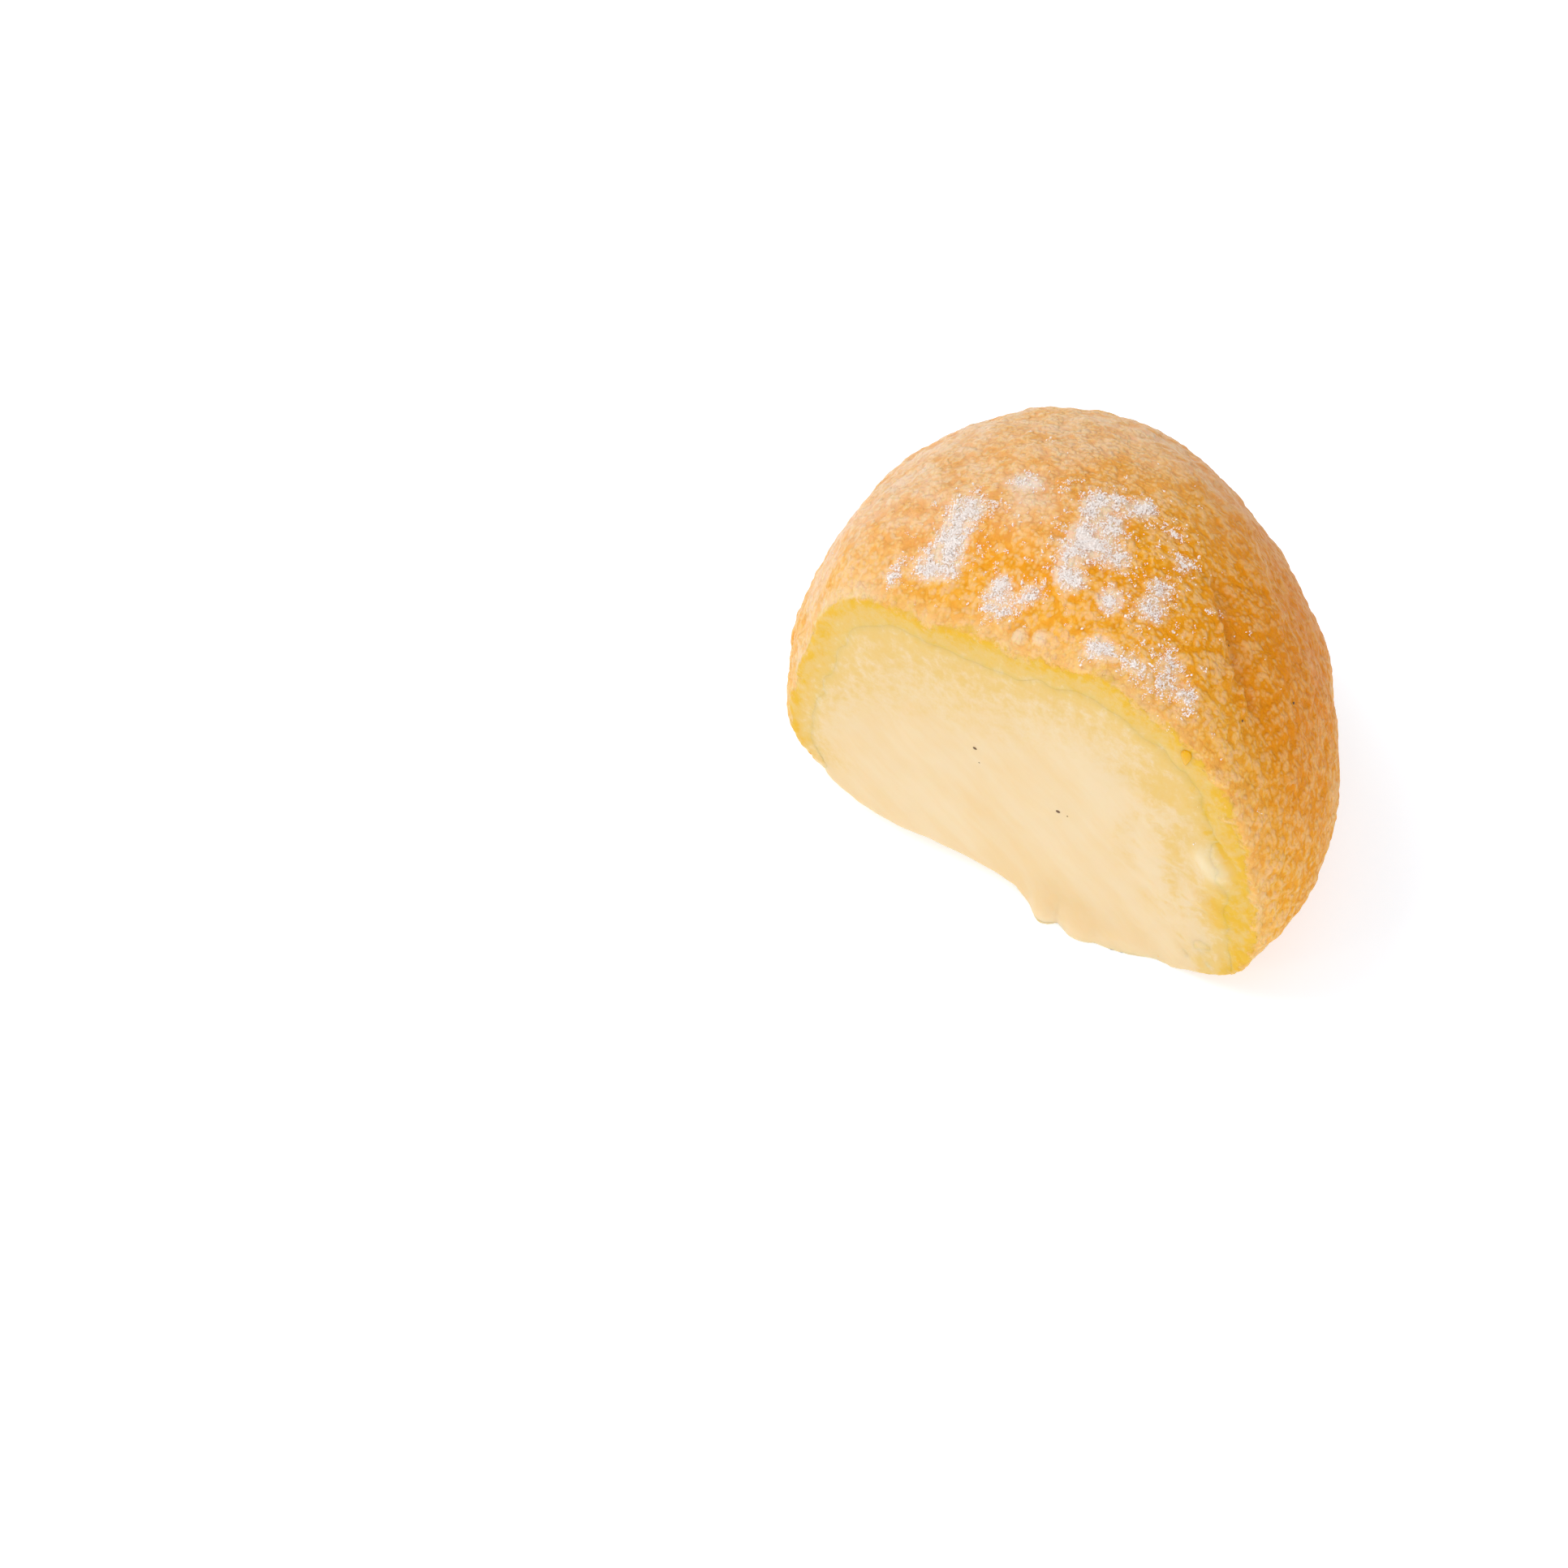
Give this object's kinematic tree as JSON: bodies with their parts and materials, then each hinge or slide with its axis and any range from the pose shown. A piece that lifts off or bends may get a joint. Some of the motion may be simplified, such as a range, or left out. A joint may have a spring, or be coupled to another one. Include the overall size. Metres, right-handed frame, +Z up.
{
  "type": "cream-filled bunuelo",
  "caption": "Round fried bunuelo with a slumped flat base and a slice cut off one side, showing a cream core inside a thin golden dough shell.",
  "frame": {"origin": "on the flat base, in the middle of the box round the whole piece", "axes": "+Z up from the base, +X to the right along the cut, and the cut face looks along -Y"},
  "size_m": [0.0478, 0.0358, 0.0326],
  "materials": {
    "fried_dough": "golden, blistered, faintly oily",
    "pastry_cream": "smooth, moist, satin"
  },
  "bodies": {
    "root": {"dough_shell": "fried_dough", "cream_filling": "pastry_cream"}
  },
  "joints": []
}
